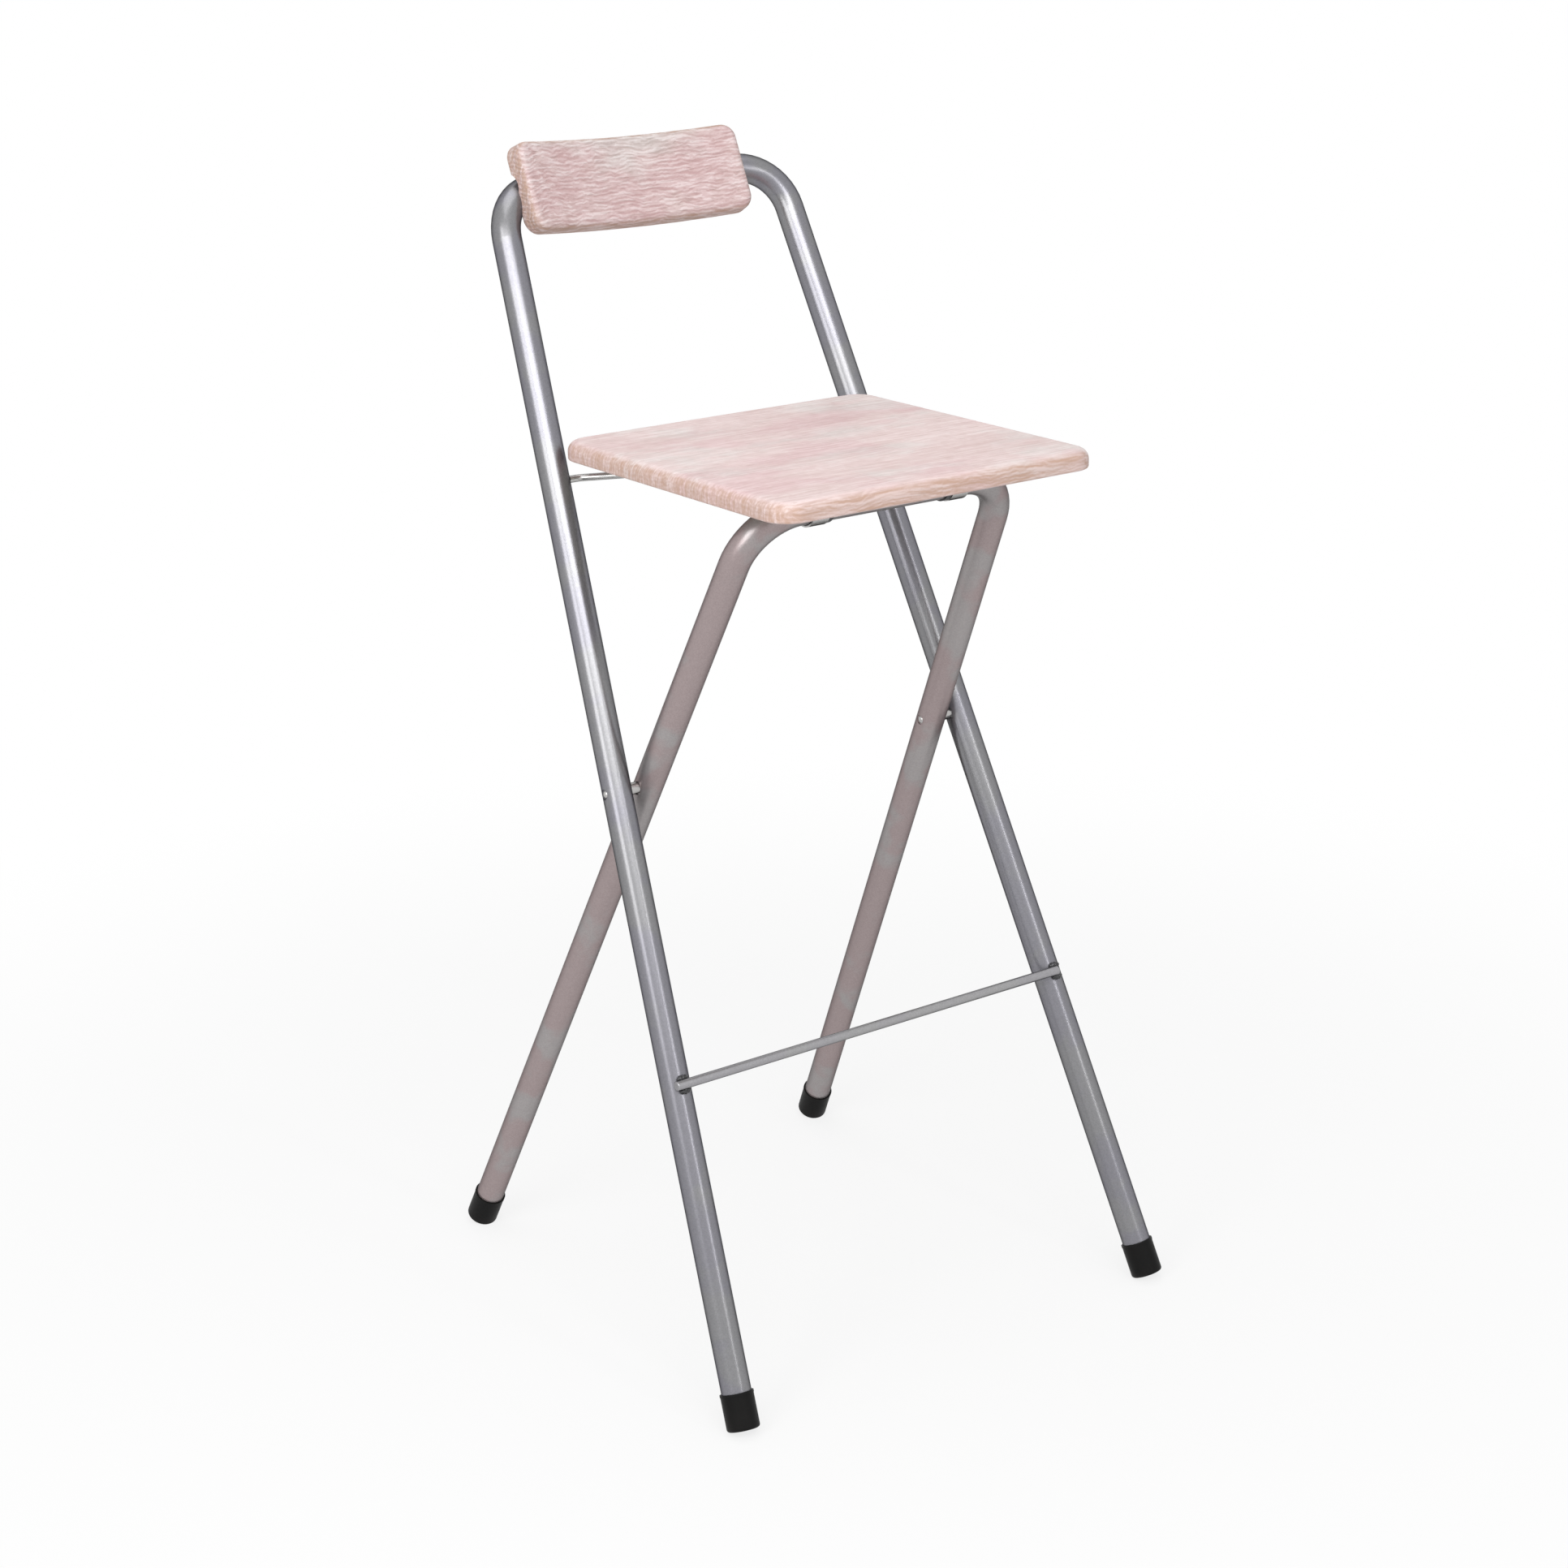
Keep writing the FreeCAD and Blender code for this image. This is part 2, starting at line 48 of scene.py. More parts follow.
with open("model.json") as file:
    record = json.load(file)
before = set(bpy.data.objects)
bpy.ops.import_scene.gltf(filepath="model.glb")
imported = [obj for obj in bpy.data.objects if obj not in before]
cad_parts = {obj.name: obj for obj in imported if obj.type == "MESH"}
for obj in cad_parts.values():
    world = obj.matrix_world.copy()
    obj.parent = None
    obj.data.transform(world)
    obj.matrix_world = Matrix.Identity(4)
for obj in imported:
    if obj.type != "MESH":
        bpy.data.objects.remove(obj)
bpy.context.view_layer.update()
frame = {"nodes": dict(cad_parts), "record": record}

MM = 0.001
UP = (0.0, 0.0, 1.0)

# Grain of each board: width of its lines against their length, waves in each metre,
# strength of the lines and of the painted highlight on their ridges, and the part of them that is
# evenly spaced
SEAT_GRAIN = {"Along": 0.06, "Wave": 8.0, "Contrast": 0.45, "Bands": 0.10}
BACK_GRAIN = {"Along": 0.15, "Wave": 20.0, "Contrast": 1.0, "Bands": 0.17}

# Skin of each finish: distance between its specks, and its depth
STEEL_SKIN = (0.6 * MM, 0.015 * MM)
WELD_SKIN = (0.8 * MM, 0.2 * MM)
RUBBER_SKIN = (0.5 * MM, 0.05 * MM)
PLASTIC_SKIN = (0.3 * MM, 0.03 * MM)

# Soft box lamps, with their places and sizes in metres
Lamp = namedtuple("Lamp", "name place width height watts")
LAMPS = (
    Lamp("side", (-2.3, -0.75, 1.8), 1.1, 1.8, 24.0),
    Lamp("front", (-1.1, -1.95, 2.35), 2.2, 0.9, 37.0),
    Lamp("strip", (0.35, -2.6, 1.5), 0.24, 1.3, 6.5),
    Lamp("top", (0.0, 0.2, 2.9), 1.8, 1.8, 15.5),
)
LAMP_AIM = Vector((0.0, 0.0, 0.5))


# Settings


def colour(name, description, default):
    return FloatVectorProperty(name=name, description=description, subtype="COLOR", size=3,
                               min=0.0, max=1.0, default=default)


def length(name, description, default):
    return FloatProperty(name=name, description=description, unit="LENGTH", min=0.0, default=default)


def share(name, description, default):
    return FloatProperty(name=name, description=description, subtype="FACTOR", min=0.0, max=1.0,
                         default=default)


class TubePaint(PropertyGroup):
    tone: colour("Tone", "Silver grey of the paint", (0.235, 0.232, 0.256))
    # Warm tone: the silver paint's grey with a pink warmth that is painted reflection of the wooden
    # seat.
    grey_and_wood_reflection: colour("Warm tone", "Duller, warmer grey of the short frame", (0.365, 0.300, 0.300))
    # Rod: the same silver paint made brighter, a painted highlight on the foot rest rod.
    rod: colour("Rod", "Brighter grey of the foot rest rod", (0.36, 0.355, 0.37))
    metal: share("Metal", "How much the flake in the paint acts as metal", 0.85)
    dull_metal: share("Dull metal", "Metal of the short frame's paint against the other paint", 0.8)
    gloss: share("Roughness", "Roughness of the painted surface", 0.29)
    dull: share("Dull", "Roughness of the short frame's paint", 0.34)
    flop: share("Flop", "Brightness of the paint's gloss at a slant", 0.0)
    flake: length("Flake", "Distance between flecks of the metallic paint", 0.0009)
    peel: length("Peel", "Depth of the paint's soft ripples", 0.000003)
    scuffs: share("Scuffs", "How much of the paint is rubbed", 0.25)


class OakFoil(PropertyGroup):
    pale: colour("Pale", "Palest tone of the foil", (0.775, 0.625, 0.61))
    deep: colour("Deep", "Tone of the broad grain", (0.62, 0.455, 0.435))
    pore: colour("Pore", "Tone of the fine open grain", (0.50, 0.37, 0.33))
    edge: colour("Edge", "Warmer tone where the foil is stretched over an edge", (0.54, 0.36, 0.285))
    backing: colour("Backing", "Plain backing below the seat", (0.62, 0.58, 0.52))
    line: length("Grain line", "Distance between the fine grain lines", 0.0034)
    seat_relief: length("Seat relief", "Depth of the grain pressed into the seat", 0.0004)
    back_relief: length("Back relief", "Depth of the grain pressed into the back rest", 0.0011)
    # Back shade darkens the back rest's copy of the seat's foil: painted shade for the smaller share
    # of light that falls on its front.
    back_painted_shade: share("Back shade", "Tone of the back rest against the seat", 0.86)
    wrap: length("Wrap", "How far the seat's foil reaches in below the board", 0.014)


class Steel(PropertyGroup):
    tone: colour("Tone", "Zinc plated steel", (0.54, 0.53, 0.52))
    gloss: share("Roughness", "Roughness of the plating", 0.26)
    flop: share("Flop", "Brightness of the plating's gloss at a slant", 0.0)
    scuffs: share("Scuffs", "How much of the plating is rubbed", 0.4)


class Rubber(PropertyGroup):
    foot: colour("Foot", "Black rubber of the feet", (0.004, 0.004, 0.004))
    dust: colour("Dust", "Dust on the lower edge of the feet", (0.030, 0.026, 0.024))
    scuffs: share("Scuffs", "How unevenly the dust lies", 0.8)
    liner: colour("Liner", "Black plastic between the straps and the bar", (0.016, 0.016, 0.017))


class Welds(PropertyGroup):
    ripples: IntProperty(name="Ripples", description="Ripples along each bead", min=1, default=4)
    depth: share("Ripple depth", "Depth of the ripples against the bead's size", 0.10)
    seed: IntProperty(name="Seed", description="Start of the beads' random shape", default=7)
    # Tone of the beads is near black: painted shadow of the gaps at the rod's ends.
    tone: colour("Tone", "Near black of the beads, painted shadow", (0.02, 0.02, 0.021))


class Stage(PropertyGroup):
    heading: FloatProperty(name="Heading", description="Turn of the camera around the stool",
                           subtype="ANGLE", default=math.radians(-35.5718))
    rise: FloatProperty(name="Rise", description="Angle of the camera above level", subtype="ANGLE",
                        default=math.radians(18.4931))
    roll: FloatProperty(name="Roll", description="Roll of the camera", subtype="ANGLE",
                        default=math.radians(-1.0094))
    place: FloatVectorProperty(name="Place", description="Place of the camera", unit="LENGTH", size=3,
                               default=(-1.43878, -2.00862, 1.27457))
    lens: FloatProperty(name="Lens", description="Focal length in millimetres, on a 36 mm square",
                        default=69.487)
    floor: colour("Floor", "Colour of the floor", (0.90, 0.90, 0.90))
    floor_size: length("Floor size", "Width of the floor", 14.0)
    near_white: share("Near white", "How near to plain white the floor is below the stool", 0.80)
    fade_start: length("Fade start", "Distance at which the floor starts to turn to white", 0.35)
    fade: length("Fade", "Distance at which the floor has turned to plain white", 1.5)
    ambient: share("Ambient", "Strength of the even light from all sides", 0.34)


SETTINGS = {"stool_paint": TubePaint, "stool_oak": OakFoil, "stool_steel": Steel,
            "stool_rubber": Rubber, "stool_welds": Welds, "stool_stage": Stage}


# Shader building


def rgba(tone, strength=1.0):
    """A shader colour from a tone, made darker or brighter by a factor."""
    return (*(strength * value for value in tone), 1.0)


class Tree:
    """A node tree with short calls for the nodes that the finishes share."""

    def __init__(self, tree):
        self.tree = tree

    def put(self, socket, value):
        """Links an input to another node's output, or sets it to a plain value."""
        if isinstance(value, bpy.types.NodeSocket):
            self.tree.links.new(value, socket)
        else:
            socket.default_value = value

    def add(self, kind, inputs=None, **values):
        """A new node, with its own values set and its inputs linked or set."""
        node = self.tree.nodes.new(kind)
        for name, value in values.items():
            setattr(node, name, value)
        for socket, value in (inputs or {}).items():
            self.put(node.inputs[socket], value)
        return node

    def maths(self, operation, first, second=0.0):
        return self.add("ShaderNodeMath", {0: first, 1: second}, operation=operation).outputs[0]

    def vectors(self, operation, first, second=(0.0, 0.0, 0.0), output="Vector"):
        node = self.add("ShaderNodeVectorMath", {0: first, 1: second}, operation=operation)
        return node.outputs[output]

    def parts(self, vector):
        """The X, Y and Z of a vector, or the three channels of a colour."""
        return self.add("ShaderNodeSeparateXYZ", {0: vector}).outputs

    def noise(self, vector, scale, detail=2.0, roughness=0.5, distortion=0.0, output="Fac"):
        node = self.add("ShaderNodeTexNoise", {"Vector": vector, "Scale": scale, "Detail": detail,
                                               "Roughness": roughness, "Distortion": distortion})
        return node.outputs[output]

    def streaks(self, vector, scale, detail=2.0, roughness=0.5, output="Fac"):
        """Noise with its own count in each metre along X, Y and Z."""
        spread = self.add("ShaderNodeMapping", {"Vector": vector, "Scale": scale}).outputs["Vector"]
        return self.noise(spread, 1.0, detail, roughness, output=output)

    def ramp(self, value, low, high, to_low=0.0, to_high=1.0, smooth=True):
        """Turns the range from low to high into another one, and holds its ends."""
        kind = "SMOOTHSTEP" if smooth else "LINEAR"
        node = self.add("ShaderNodeMapRange", {"Value": value, "From Min": low, "From Max": high,
                                               "To Min": to_low, "To Max": to_high},
                        interpolation_type=kind)
        return node.outputs["Result"]

    def blend(self, factor, first, second):
        """Mixes two colours. A colour Mix node has its colours in inputs 6 and 7."""
        node = self.add("ShaderNodeMix", data_type="RGBA")
        for socket, value in ((0, factor), (6, first), (7, second)):
            self.put(node.inputs[socket], value)
        return node.outputs[2]

    def shift(self, tint, hue=0.5, saturation=1.0, value=1.0):
        """Changes a colour's hue, saturation and brightness. A hue of 0.5 leaves it as it is."""
        node = self.add("ShaderNodeHueSaturation", {"Hue": hue, "Saturation": saturation,
                                                    "Value": value, "Color": tint})
        return node.outputs["Color"]


FLOAT = "NodeSocketFloat"
COLOUR = "NodeSocketColor"
VECTOR = "NodeSocketVector"


def new_group(name, inputs, outputs):
    """An empty node group with named sockets: returns its tree helper, its input and its output."""
    group = bpy.data.node_groups.new(name, "ShaderNodeTree")
    for in_out, sockets in (("INPUT", inputs), ("OUTPUT", outputs)):
        for socket_name, (kind, default) in sockets.items():
            socket = group.interface.new_socket(name=socket_name, in_out=in_out, socket_type=kind)
            if default is not None:
                socket.default_value = default
    tree = Tree(group)
    entry = tree.add("NodeGroupInput").outputs
    leave = tree.add("NodeGroupOutput").inputs
    return tree, entry, leave


def wavy_place(tree, entry):
    """The place on the board, moved to and fro across the grain so that it runs in waves."""
    swing_of_wave = 0.12
    bend = tree.noise(entry["Vector"], entry["Wave"], detail=3.0, output="Color")
    bend = tree.vectors("ADD", bend, (-0.5, -0.5, -0.5))
    swing = tree.maths("DIVIDE", swing_of_wave, entry["Wave"])
    across = tree.add("ShaderNodeCombineXYZ", {1: swing, 2: swing}).outputs[0]
    return tree.vectors("ADD", entry["Vector"], tree.vectors("MULTIPLY", bend, across))


def grain_lines(tree, entry, wavy):
    """Fine lines along X, with a part of them evenly spaced."""
    band_width = 0.314  # of the wave texture at a scale of 1
    across = tree.maths("DIVIDE", 1.0, entry["Line"])
    along = tree.maths("MULTIPLY", across, entry["Along"])
    density = tree.add("ShaderNodeCombineXYZ", {0: along, 1: across, 2: across}).outputs[0]
    fine = tree.noise(tree.vectors("MULTIPLY", wavy, density), 1.0, detail=3.0, roughness=0.6,
                      distortion=0.4)
    bands = tree.add("ShaderNodeTexWave", {
        "Vector": wavy, "Scale": tree.maths("DIVIDE", band_width, entry["Line"]),
        "Distortion": 14.0, "Detail": 4.0, "Detail Scale": 0.45, "Detail Roughness": 0.55},
        bands_direction="Z").outputs["Fac"]
    even = tree.maths("MULTIPLY", tree.maths("SUBTRACT", bands, 0.5), entry["Bands"])
    return tree.maths("ADD", fine, even)


def grain_tint(tree, entry, wavy, lines, pore_mask):
    """The foil's colour on a broad face: streaks, dark grain lines with painted highlight on the
    ridges between them, and pores.
    """
    broad = tree.streaks(wavy, (3.0, 22.0, 22.0), detail=4.0, roughness=0.6)
    tint = tree.blend(tree.ramp(broad, 0.34, 0.70, 0.0, 0.5), entry["Pale"], entry["Deep"])
    furrow = tree.maths("MULTIPLY", tree.ramp(lines, 0.47, 0.66), entry["Contrast"])
    tint = tree.blend(furrow, tint, entry["Deep"])
    # Painted highlight on the ridges between the grain lines: paler and greyer there.
    painted_ridge_highlight = tree.maths("MULTIPLY", tree.ramp(lines, 0.47, 0.34), entry["Contrast"])
    tint = tree.blend(painted_ridge_highlight, tint, tree.shift(tint, saturation=0.7, value=1.16))
    return tree.blend(tree.maths("MULTIPLY", pore_mask, 0.35), tint, entry["Pore"])


def patchy_tint(tree, entry, tint):
    """Turns the colour rosier in some patches and greyer in others."""
    patches = tree.parts(tree.streaks(entry["Vector"], (9.0, 14.0, 14.0), detail=3.0, roughness=0.6,
                                      output="Color"))
    rosy = tree.shift(tint, hue=0.485, saturation=1.15, value=0.97)
    tint = tree.blend(tree.ramp(patches[0], 0.44, 0.62), tint, rosy)
    faded = tree.shift(tint, hue=0.53, saturation=0.5, value=0.97)
    return tree.blend(tree.ramp(patches[1], 0.48, 0.68, 0.0, 0.75), tint, faded)


def edge_tint(tree, entry, wavy, lines, tint):
    """The warmer colour on the edges, with short lines across those at the grain's ends."""
    normal = tree.add("ShaderNodeTexCoord").outputs["Normal"]
    facing = tree.vectors("DOT_PRODUCT", normal, entry["Face"], "Value")
    stretched = tree.ramp(tree.maths("ABSOLUTE", facing), 0.98, 0.55)
    at_end = tree.ramp(tree.maths("ABSOLUTE", tree.parts(normal)[0]), 0.30, 0.75)
    end_lines = tree.streaks(wavy, (50.0, 420.0, 50.0), detail=3.0, roughness=0.6)
    pulled = tree.blend(tree.ramp(end_lines, 0.36, 0.62), tint, entry["Edge"])
    along_edge = tree.ramp(lines, 0.36, 0.64, 0.35, 1.0)
    tint = tree.blend(tree.maths("MULTIPLY", stretched, along_edge), tint, entry["Edge"])
    at_end = tree.maths("MULTIPLY", stretched, at_end)
    return tree.blend(tree.maths("MULTIPLY", at_end, 0.6), tint, pulled)


def oak_grain_group():
    """Oak effect foil: broad streaks, fine wavy lines with painted highlight on their ridges, and open
    pores that run along X.
    """
    tree, entry, leave = new_group(
        "Oak grain",
        {"Vector": (VECTOR, None), "Pale": (COLOUR, None), "Deep": (COLOUR, None),
         "Pore": (COLOUR, None), "Edge": (COLOUR, None), "Face": (VECTOR, None),
         "Line": (FLOAT, 0.004), "Along": (FLOAT, 0.05), "Wave": (FLOAT, 9.0),
         "Contrast": (FLOAT, 0.5), "Bands": (FLOAT, 0.1)},
        {"Color": (COLOUR, None), "Roughness": (FLOAT, None), "Height": (FLOAT, None)})
    smooth, rough = 0.44, 0.62
    wavy = wavy_place(tree, entry)
    lines = grain_lines(tree, entry, wavy)
    pores = tree.streaks(wavy, (60.0, 700.0, 700.0), detail=1.0)
    pore_mask = tree.ramp(pores, 0.60, 0.72)
    tint = grain_tint(tree, entry, wavy, lines, pore_mask)
    tint = patchy_tint(tree, entry, tint)
    tree.put(leave["Color"], edge_tint(tree, entry, wavy, lines, tint))
    tree.put(leave["Roughness"], tree.ramp(lines, 0.3, 0.8, smooth, rough, False))
    dents = tree.maths("SUBTRACT", tree.maths("MULTIPLY", lines, -1.0),
                       tree.maths("MULTIPLY", pore_mask, 0.15))
    tree.put(leave["Height"], dents)
    return tree.tree


def scuff_group():
    """A mask of rubbed patches and hairline scratches, for paint, steel and rubber."""
    tree, entry, leave = new_group("Scuffs", {"Vector": (VECTOR, None), "Amount": (FLOAT, 0.25)},
                                   {"Mask": (FLOAT, None)})
    patches = tree.noise(entry["Vector"], 11.0, detail=4.0, roughness=0.6)
    hairs = tree.streaks(entry["Vector"], (900.0, 900.0, 40.0))
    start = tree.maths("SUBTRACT", 0.78, tree.maths("MULTIPLY", entry["Amount"], 0.3))
    worn = tree.ramp(patches, start, 0.82)
    thin = tree.maths("MULTIPLY", tree.ramp(hairs, 0.62, 0.74), tree.ramp(patches, 0.50, 0.70))
    thin = tree.maths("MULTIPLY", thin, entry["Amount"])
    tree.put(leave["Mask"], tree.maths("MAXIMUM", worn, thin))
    return tree.tree


def speckle_group():
    """Fine even unevenness: flecks in the paint and the skin of moulded parts."""
    tree, entry, leave = new_group("Speckle", {"Vector": (VECTOR, None), "Spacing": (FLOAT, 0.001)},
                                   {"Fleck": (FLOAT, None), "Height": (FLOAT, None)})
    scale = tree.maths("DIVIDE", 1.0, entry["Spacing"])
    cells = tree.add("ShaderNodeTexVoronoi", {"Vector": entry["Vector"], "Scale": scale})
    tree.put(leave["Fleck"], tree.ramp(cells.outputs["Color"], 0.0, 1.0, 0.0, 1.0, False))
    tree.put(leave["Height"], tree.noise(entry["Vector"], tree.maths("MULTIPLY", scale, 0.25)))
    return tree.tree


def use_group(tree, name, inputs):
    """Places the named node group, built on first use, and returns its outputs."""
    makers = {"Oak grain": oak_grain_group, "Scuffs": scuff_group, "Speckle": speckle_group}
    group = bpy.data.node_groups.get(name) or makers[name]()
    node = tree.add("ShaderNodeGroup", node_tree=group)
    for socket, value in inputs.items():
        tree.put(node.inputs[socket], value)
    return node.outputs


# Finishes


def new_material(name):
    """A material with a Principled shader: returns it, its tree, its shader and a place input."""
    material = bpy.data.materials.new(name)
    material.use_nodes = True
    tree = Tree(material.node_tree)
    shader = material.node_tree.nodes["Principled BSDF"]
    place = tree.add("ShaderNodeTexCoord").outputs["Object"]
    return material, tree, shader, place


def bump(tree, shader, height, depth):
    node = tree.add("ShaderNodeBump", {"Height": height, "Distance": depth, "Strength": 1.0})
    tree.put(shader.inputs["Normal"], node.outputs["Normal"])


def skin(tree, shader, place, spacing, depth):
    """Gives a finish its fine bump, and returns the masks of its flecks and heights."""
    masks = use_group(tree, "Speckle", {"Vector": place, "Spacing": spacing})
    bump(tree, shader, masks["Height"], depth)
    return masks


def silver_paint(settings, name, tone, gloss, metal):
    """Metallic paint: fine flake, rubbed patches, and a gloss that gets darker at a slant."""
    material, tree, shader, place = new_material(name)
    masks = skin(tree, shader, place, settings.flake, settings.peel)
    worn = use_group(tree, "Scuffs", {"Vector": place, "Amount": settings.scuffs})["Mask"]
    dark_fleck, pale_fleck, rubbed = rgba(tone, 0.90), rgba(tone, 1.08), rgba(tone, 0.70)
    tint = tree.blend(masks["Fleck"], dark_fleck, pale_fleck)
    tint = tree.blend(tree.maths("MULTIPLY", worn, 0.5), tint, rubbed)
    cloud = tree.noise(place, 16.0, detail=3.0, roughness=0.6)
    greyer = tree.shift(tint, saturation=0.35)
    tint = tree.blend(tree.ramp(cloud, 0.46, 0.58), tint, greyer)
    tree.put(shader.inputs["Base Color"], tint)
    rubbed_gloss = gloss + 0.14
    tree.put(shader.inputs["Roughness"], tree.ramp(worn, 0.0, 1.0, gloss, rubbed_gloss, False))
    shader.inputs["Metallic"].default_value = metal
    shader.inputs["Specular Tint"].default_value = rgba([settings.flop] * 3)
    shader.inputs["Coat Weight"].default_value = 0.05
    shader.inputs["Coat Roughness"].default_value = 0.20
    return material


def oak_foil(name, settings, face, grain, relief, shade=1.0):
    """Oak effect foil on a board whose broad faces point along the given direction; shade darkens its
    tones as painted shade.
    """
    material, tree, shader, place = new_material(name)
    tones = {tone.title(): rgba(getattr(settings, tone), shade)
             for tone in ("pale", "deep", "pore", "edge")}
    foil = use_group(tree, "Oak grain", {"Vector": place, "Face": face, "Line": settings.line,
                                         **grain, **tones})
    tree.put(shader.inputs["Base Color"], foil["Color"])
    tree.put(shader.inputs["Roughness"], foil["Roughness"])
    shader.inputs["Specular IOR Level"].default_value = 0.35
    bump(tree, shader, foil["Height"], relief)
    return material, tree, shader, place, foil["Color"]


def seat_foil(settings):
    """The seat's foil wraps the edges and ends a finger's width in below, over plain backing."""
    material, tree, shader, place, tint = oak_foil(
        "Seat oak foil", settings, UP, SEAT_GRAIN, settings.seat_relief)
    low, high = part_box("seat_board")
    soft = 0.5 * MM
    parts = tree.parts(place)
    backing = tree.ramp(parts[2], low[2] + soft, low[2] + 0.2 * soft)
    for axis in (0, 1):
        middle = (low[axis] + high[axis]) / 2
        reach = (high[axis] - low[axis]) / 2 - settings.wrap
        off = tree.maths("ABSOLUTE", tree.maths("SUBTRACT", parts[axis], middle))
        backing = tree.maths("MULTIPLY", backing, tree.ramp(off, reach, reach - soft))
    tree.put(shader.inputs["Base Color"], tree.blend(backing, tint, rgba(settings.backing)))
    return material


def plated_steel(settings):
    """Zinc plating: slightly mottled, and duller where it is rubbed."""
    material, tree, shader, place = new_material("Zinc plated steel")
    masks = skin(tree, shader, place, *STEEL_SKIN)
    worn = use_group(tree, "Scuffs", {"Vector": place, "Amount": settings.scuffs})["Mask"]
    mottle = rgba(settings.tone, 0.80)
    tree.put(shader.inputs["Base Color"], tree.blend(masks["Height"], mottle, rgba(settings.tone)))
    rubbed_gloss = settings.gloss + 0.2
    rough = tree.ramp(worn, 0.0, 1.0, settings.gloss, rubbed_gloss, False)
    tree.put(shader.inputs["Roughness"], rough)
    shader.inputs["Metallic"].default_value = 1.0
    shader.inputs["Specular Tint"].default_value = rgba([settings.flop] * 3)
    return material


def painted_shadow_weld_metal(settings):
    """Near black weld beads with paler flecks: the near black is painted shadow of the gaps at the
    rod's ends.
    """
    material, tree, shader, place = new_material("Weld metal with painted shadow")
    masks = skin(tree, shader, place, *WELD_SKIN)
    pale = rgba(settings.tone, 4.0)
    tree.put(shader.inputs["Base Color"], tree.blend(masks["Fleck"], rgba(settings.tone), pale))
    shader.inputs["Metallic"].default_value = 0.5
    shader.inputs["Roughness"].default_value = 0.28
    return material


def black_rubber(settings):
    """Black rubber with dust towards the floor."""
    material, tree, shader, place = new_material("Black rubber")
    dust_top, dust_full = 12 * MM, 1 * MM
    least_dust, most_dust = 0.15, 0.8
    masks = skin(tree, shader, place, *RUBBER_SKIN)
    worn = use_group(tree, "Scuffs", {"Vector": place, "Amount": settings.scuffs})["Mask"]
    low = tree.ramp(tree.parts(place)[2], dust_top, dust_full, least_dust, most_dust)
    dusty = tree.maths("MULTIPLY", low, tree.maths("ADD", 0.25, worn))
    tint = tree.blend(dusty, rgba(settings.foot), rgba(settings.dust))
    tree.put(shader.inputs["Base Color"], tint)
    rough = tree.ramp(masks["Height"], 0.2, 0.8, 0.42, 0.56, False)
    tree.put(shader.inputs["Roughness"], rough)
    shader.inputs["Specular IOR Level"].default_value = 0.12
    return material


def black_plastic(settings):
    """Black moulded plastic with a fine grain."""
    material, tree, shader, place = new_material("Black plastic")
    masks = skin(tree, shader, place, *PLASTIC_SKIN)
    pale = rgba(settings.liner, 1.8)
    tree.put(shader.inputs["Base Color"], tree.blend(masks["Fleck"], rgba(settings.liner), pale))
    rough = tree.ramp(masks["Height"], 0.2, 0.8, 0.38, 0.50, False)
    tree.put(shader.inputs["Roughness"], rough)
    return material


def finish_node(name, material):
    """Puts one material in all the slots of a carried-over node."""
    piece = frame["nodes"][name]
    if not piece.material_slots:
        piece.data.materials.append(material)
    for slot in piece.material_slots:
        slot.material = material


def nodes_of_slot(slot):
    """The nodes that have the given material slot in the record."""
    return [part["node"] for part in frame["record"]["subparts"] if part["material_slot"] == slot]


# Boxes of the weld beads


def corners(points):
    """The lowest and the highest corner of the box around some points."""
    return (Vector([min(point[axis] for point in points) for axis in range(3)]),
            Vector([max(point[axis] for point in points) for axis in range(3)]))


def islands(piece):
    """The joined stretches of a node's mesh, as lists of their points."""
    mesh = bmesh.new()
    mesh.from_mesh(piece.data)
    left = set(mesh.verts)
    found = []
    while left:
        stack = [left.pop()]
        points = []
        while stack:
            vert = stack.pop()
            points.append(vert.co.copy())
            near = {edge.other_vert(vert) for edge in vert.link_edges} & left
            left -= near
            stack.extend(near)
        found.append(points)
    mesh.free()
    return found


def touch(first, second):
    """Whether two boxes touch or overlap."""
    return all(first[0][axis] <= second[1][axis] and second[0][axis] <= first[1][axis]
               for axis in range(3))


def solid_boxes(piece):
    """The box of each solid in a node: a packed face can be an island, so boxes that touch join."""
    boxes = []
    for points in islands(piece):
        box = corners(points)
        near = [other for other in boxes if touch(box, other)]
        while near:
            boxes = [other for other in boxes if not touch(box, other)]
            box = corners([corner for part in (box, *near) for corner in part])
            near = [other for other in boxes if touch(box, other)]
        boxes.append(box)
    return boxes


# Operators


class StoolOperator(Operator):
    """Options that all of the stool's operators share"""

    bl_options = {"REGISTER", "UNDO"}


class STOOL_OT_tubes(StoolOperator):
    """Finish the two tube frames and the foot rest rod in silver paint"""

    bl_idname = "stool.tubes"
    bl_label = "Paint the Tubes"

    def execute(self, context):
        settings = context.scene.stool_paint
        silver = silver_paint(settings, "Silver tube paint", settings.tone, settings.gloss,
                              settings.metal)
        # The short frame's paint is a rougher copy whose warm tint is painted reflection of the wooden
        # seat.
        dull = silver_paint(settings, "Dull silver paint with painted wood reflection", settings.grey_and_wood_reflection, settings.dull,
                            settings.dull_metal * settings.metal)
        # The rod gets a brighter copy of the silver paint: painted highlight.
        rod = silver_paint(settings, "Rod paint with painted highlight", settings.rod, settings.gloss, settings.metal)
        own = {"short_frame_tube": dull, "rung": rod}
        for name in nodes_of_slot("tube_paint"):
            finish_node(name, own.get(name, silver))
        return {"FINISHED"}


